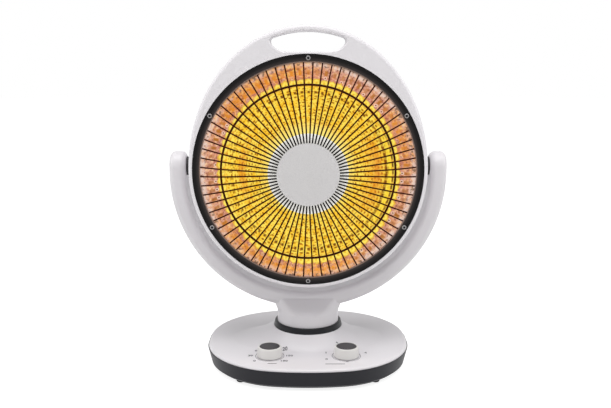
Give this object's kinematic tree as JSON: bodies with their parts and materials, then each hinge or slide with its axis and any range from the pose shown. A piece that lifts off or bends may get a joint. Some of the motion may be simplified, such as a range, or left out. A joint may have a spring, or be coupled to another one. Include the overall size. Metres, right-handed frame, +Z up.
{
  "type": "radiant dish heater",
  "caption": "Tabletop radiant heater with a round glowing reflector dish behind a wire guard, tilting in a C-shaped yoke that swings on an oval base with two knobs.",
  "frame": {"origin": "on the floor under the swivel axis, at the middle of the base", "axes": "+Z up, -Y out of the guard at rest, +X to the right seen from the front"},
  "size_m": [0.354, 0.232, 0.436],
  "materials": {
    "shell": "satin moulded",
    "tray": "satin moulded",
    "collar": "gloss moulded",
    "rubber": "matt",
    "steel": "zinc plated",
    "screw": "nickel plated",
    "bearing": "self-lubricating",
    "unit": "moulded",
    "motor": "pressed can",
    "knob": "satin moulded",
    "knob_cap": "satin moulded",
    "guard": "black enamel",
    "shield": "white enamel",
    "cap": "satin silver",
    "reflector": "bright, lit by the coil",
    "ceramic": "opaque ceramic",
    "coil": "red hot wire",
    "brass": "bare"
  },
  "bodies": {
    "base": {"base_tray": "tray", "base_cover": "shell", "base_feet": "rubber", "base_screws": "screw", "ballast_plate": "steel", "cord_gland": "rubber", "terminal_block": "unit", "swivel_collar": "collar", "thrust_washer": "bearing", "swivel_bush": "bearing", "swing_motor": "motor", "motor_screws": "screw", "timer_unit": "unit", "selector_switch": "unit", "control_screws": "screw", "tip_switch": "unit"},
    "timer": {"timer_knob": "knob", "timer_knob_cap": "knob_cap", "timer_shaft": "steel"},
    "selector": {"selector_knob": "knob", "selector_knob_cap": "knob_cap", "selector_shaft": "steel"},
    "plunger": {"tip_plunger": "unit"},
    "crank": {"swing_crank": "bearing"},
    "yoke": {"yoke_front": "shell", "yoke_rear": "shell", "yoke_screws": "screw", "swivel_spindle": "steel", "spindle_screws": "screw", "spindle_clip": "steel", "swing_lever": "steel", "lever_screws": "screw"},
    "head": {"front_bezel": "shell", "rear_shell": "shell", "rear_screws": "screw", "guard_rim": "guard", "rim_screws": "screw", "wire_guard": "guard", "guard_cap": "cap", "guard_hub": "shield", "guard_screw": "screw", "reflector": "reflector", "heater_socket": "ceramic", "heater_former": "ceramic", "heater_coil": "coil", "heater_lugs": "brass", "socket_bracket": "steel", "bracket_screws": "screw", "thermal_cutout": "unit", "tilt_pins": "steel", "tilt_washers": "bearing"}
  },
  "joints": [
    {"name": "swivel", "type": "hinge", "parent": "base", "child": "yoke", "pos_m": [0, 0, 0.05], "axis": [0, 0, 1], "range_deg": [-40, 40]},
    {"name": "tilt", "type": "hinge", "parent": "yoke", "child": "head", "pos_m": [0, 0, 0.262], "axis": [-1, 0, 0], "range_deg": [-12, 25]},
    {"name": "timer_turn", "type": "hinge", "parent": "base", "child": "timer", "pos_m": [-0.048, -0.07, 0.035], "axis": [0, 0, -1], "range_deg": [0, 300]},
    {"name": "selector_turn", "type": "hinge", "parent": "base", "child": "selector", "pos_m": [0.048, -0.07, 0.035], "axis": [0, 0, -1], "range_deg": [0, 180]},
    {"name": "tip_press", "type": "slide", "parent": "base", "child": "plunger", "axis": [0, 0, 1], "range_m": [-0.005, 0], "stiffness_N_per_m": 60, "springref_m": -0.008},
    {"name": "crank_turn", "type": "hinge", "parent": "base", "child": "crank", "pos_m": [0, 0.024, 0.02], "axis": [0, 0, 1], "range_deg": [-130, 130]}
  ],
  "couplings": [
    {"joint": "crank_turn", "follows": "swivel", "ratio": 3.25}
  ]
}
